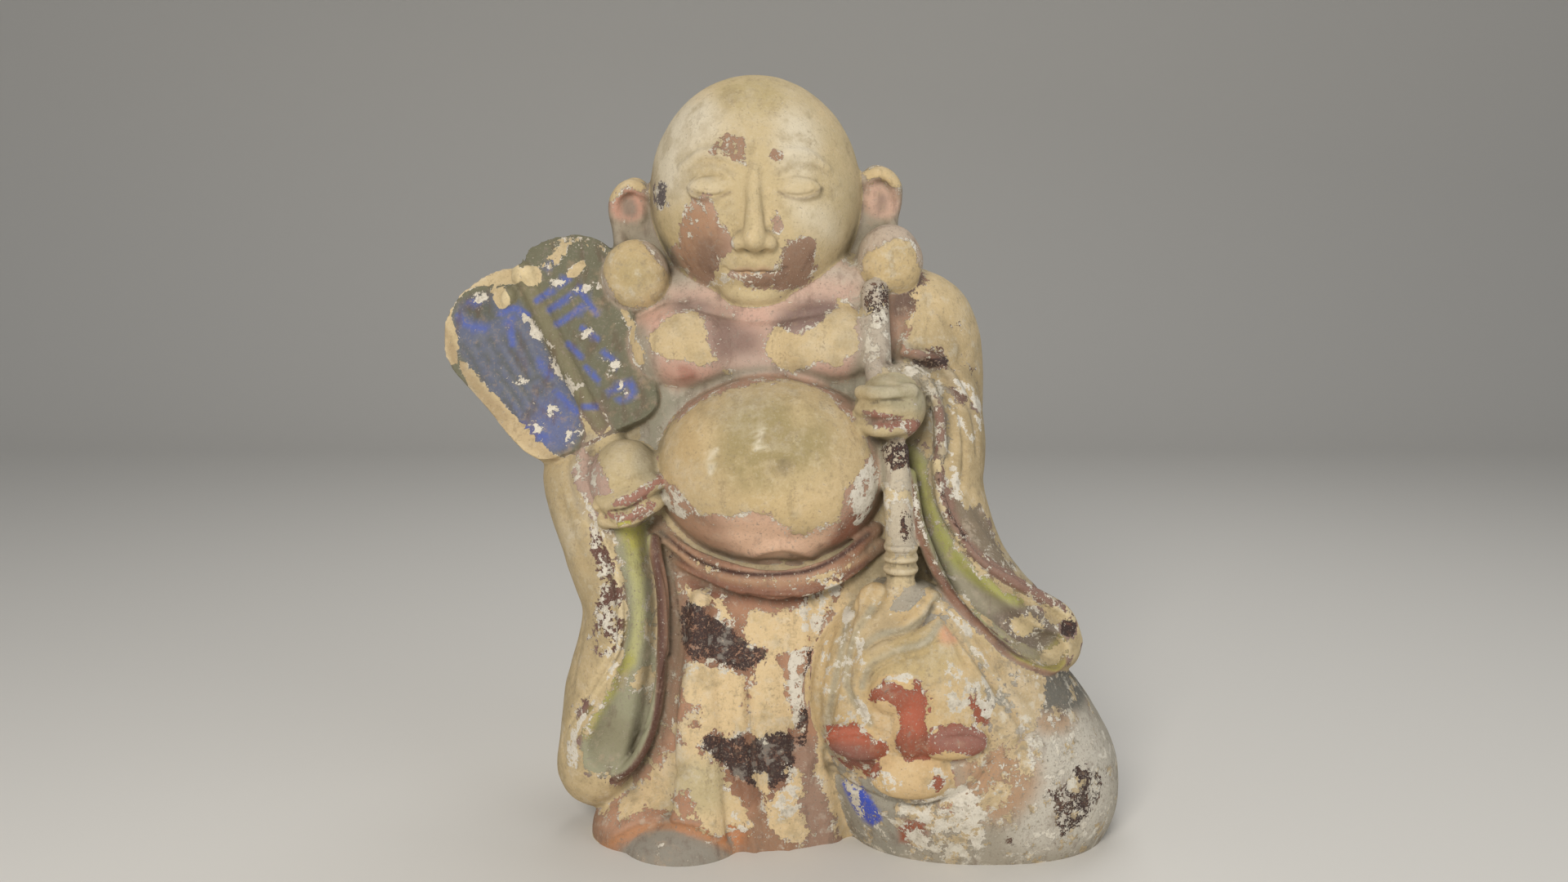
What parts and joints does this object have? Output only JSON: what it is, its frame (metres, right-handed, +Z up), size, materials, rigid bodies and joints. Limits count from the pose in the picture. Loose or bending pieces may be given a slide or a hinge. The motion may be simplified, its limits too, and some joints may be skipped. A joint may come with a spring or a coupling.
{
  "type": "deity statue",
  "caption": "Moulded and painted clay figure of a bald, bare-bellied lucky monk with a broad fan, a staff and a tied sack, flat below",
  "frame": {"origin": "On the flat underside, below the middle of the figure, where it rests", "axes": "+Z up, along the figure's height; the figure faces -Y; +X is to the viewer's right, on the sack's side"},
  "size_m": [0.3769, 0.1992, 0.4198],
  "materials": {
    "painted_clay": "Satin distemper over a white ground on fired clay, worn: ochre, flesh pink, brown, brick red, blue and olive paint flaked to grey and white, with grey dirt in the hollows"
  },
  "bodies": {
    "root": {"monk_figure": "painted_clay"}
  },
  "joints": []
}
